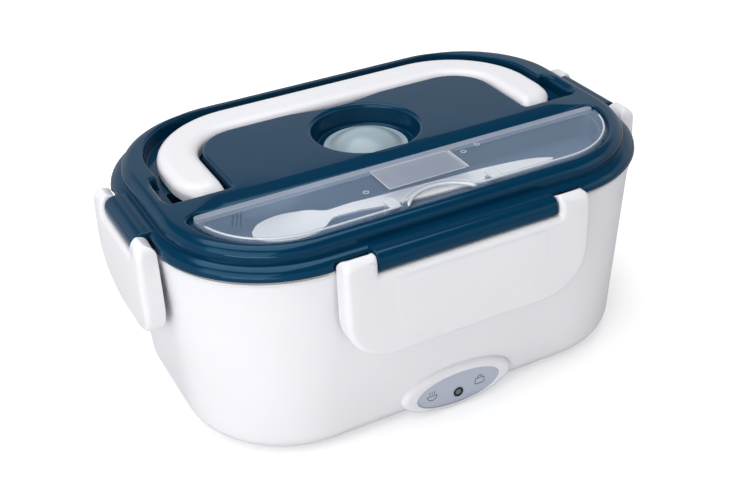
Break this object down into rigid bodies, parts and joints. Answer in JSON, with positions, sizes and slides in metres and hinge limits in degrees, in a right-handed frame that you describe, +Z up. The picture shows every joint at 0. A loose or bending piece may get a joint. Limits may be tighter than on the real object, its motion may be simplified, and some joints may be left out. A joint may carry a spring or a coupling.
{
  "type": "electric lunch box",
  "caption": "Portable electric food warmer: oval heated base, steel pan, lift-off lid with fold-down handle, vent plug and clear cutlery box, held by hinged side latches.",
  "frame": {"origin": "on the table under the middle of the base, at the rubber feet's lower face", "axes": "+X to the right along the long side as seen from the front, +Y to the back, +Z up; the cutlery box and indicator panel face -Y"},
  "size_m": [0.2482, 0.1712, 0.1076],
  "materials": {
    "white_shell": "satin gloss white",
    "liner_plastic": "matte light grey",
    "navy_lid": "gloss, moulded",
    "frosted_clear": "translucent, lightly frosted",
    "silicone_clear": "translucent silicone",
    "seal_silicone": "silicone",
    "seal_orange": "high temperature silicone",
    "pan_steel": "satin stainless steel",
    "zinc_steel": "zinc plated",
    "plate_aluminium": "as machined",
    "element_aluminium": "anodised sleeve",
    "foot_rubber": "matte",
    "black_plastic": "matte",
    "black_bezel": "gloss",
    "stat_brown": "phenolic",
    "fuse_ceramic": "ceramic body",
    "wire_sleeve": "silicone insulated wire",
    "board_green": "solder mask",
    "led_clear": "clear epoxy",
    "lens_grey": "smoked lens",
    "panel_grey": null,
    "inner_white": "white polypropylene",
    "brass_pin": "nickel plated brass"
  },
  "bodies": {
    "base": {"outer_shell": "white_shell", "inner_liner": "liner_plastic", "base_cover": "white_shell", "base_screws": "zinc_steel", "rubber_feet": "foot_rubber", "heating_plate": "plate_aluminium", "plate_seal": "seal_orange", "plate_retainer": "zinc_steel", "retainer_screws": "zinc_steel", "heating_element": "element_aluminium", "element_clamp": "zinc_steel", "thermostat": "stat_brown", "thermal_fuse": "fuse_ceramic", "wiring": "wire_sleeve", "power_inlet": "black_plastic", "inlet_pins": "brass_pin", "led_board": "board_green", "led_diode": "led_clear", "led_bezel": "black_bezel", "led_lens": "lens_grey", "indicator_panel": "panel_grey"},
    "pan": {"steel_pan": "pan_steel"},
    "lid": {"lid_shell": "navy_lid", "lid_inner_plate": "inner_white", "lid_gasket": "seal_silicone"},
    "vent": {"vent_plug": "silicone_clear"},
    "carry_handle": {"handle": "white_shell"},
    "cutlery_box": {"cutlery_tray": "frosted_clear", "spoon": "inner_white"},
    "cutlery_lid": {"cutlery_cover": "frosted_clear"},
    "front_latch": {"latch_front": "white_shell"},
    "back_latch": {"latch_back": "white_shell"},
    "left_latch": {"latch_left": "white_shell"},
    "right_latch": {"latch_right": "white_shell"}
  },
  "joints": [
    {"name": "pan_lift", "type": "slide", "parent": "base", "child": "pan", "axis": [0, 0, 1], "range_m": [0, 0.09]},
    {"name": "lid_lift", "type": "slide", "parent": "pan", "child": "lid", "axis": [0, 0, 1], "range_m": [0, 0.08]},
    {"name": "handle_hinge", "type": "hinge", "parent": "lid", "child": "carry_handle", "pos_m": [0, -0.0035, 0.1], "axis": [1, 0, 0], "range_deg": [0, 90]},
    {"name": "vent_lift", "type": "slide", "parent": "lid", "child": "vent", "axis": [0, 0, 1], "range_m": [0, 0.025]},
    {"name": "cutlery_lift", "type": "slide", "parent": "lid", "child": "cutlery_box", "axis": [0, 0, 1], "range_m": [0, 0.03]},
    {"name": "cutlery_cover_hinge", "type": "hinge", "parent": "cutlery_box", "child": "cutlery_lid", "pos_m": [0, -0.03165, 0.1066], "axis": [-1, 0, 0], "range_deg": [0, 95]},
    {"name": "front_latch_hinge", "type": "hinge", "parent": "lid", "child": "front_latch", "pos_m": [0, -0.0801, 0.0954], "axis": [-1, 0, 0], "range_deg": [0, 100]},
    {"name": "back_latch_hinge", "type": "hinge", "parent": "lid", "child": "back_latch", "pos_m": [0, 0.0801, 0.0954], "axis": [1, 0, 0], "range_deg": [0, 100]},
    {"name": "left_latch_hinge", "type": "hinge", "parent": "lid", "child": "left_latch", "pos_m": [-0.1186, 0, 0.0954], "axis": [0, 1, 0], "range_deg": [0, 100]},
    {"name": "right_latch_hinge", "type": "hinge", "parent": "lid", "child": "right_latch", "pos_m": [0.1186, 0, 0.0954], "axis": [0, -1, 0], "range_deg": [0, 100]}
  ]
}
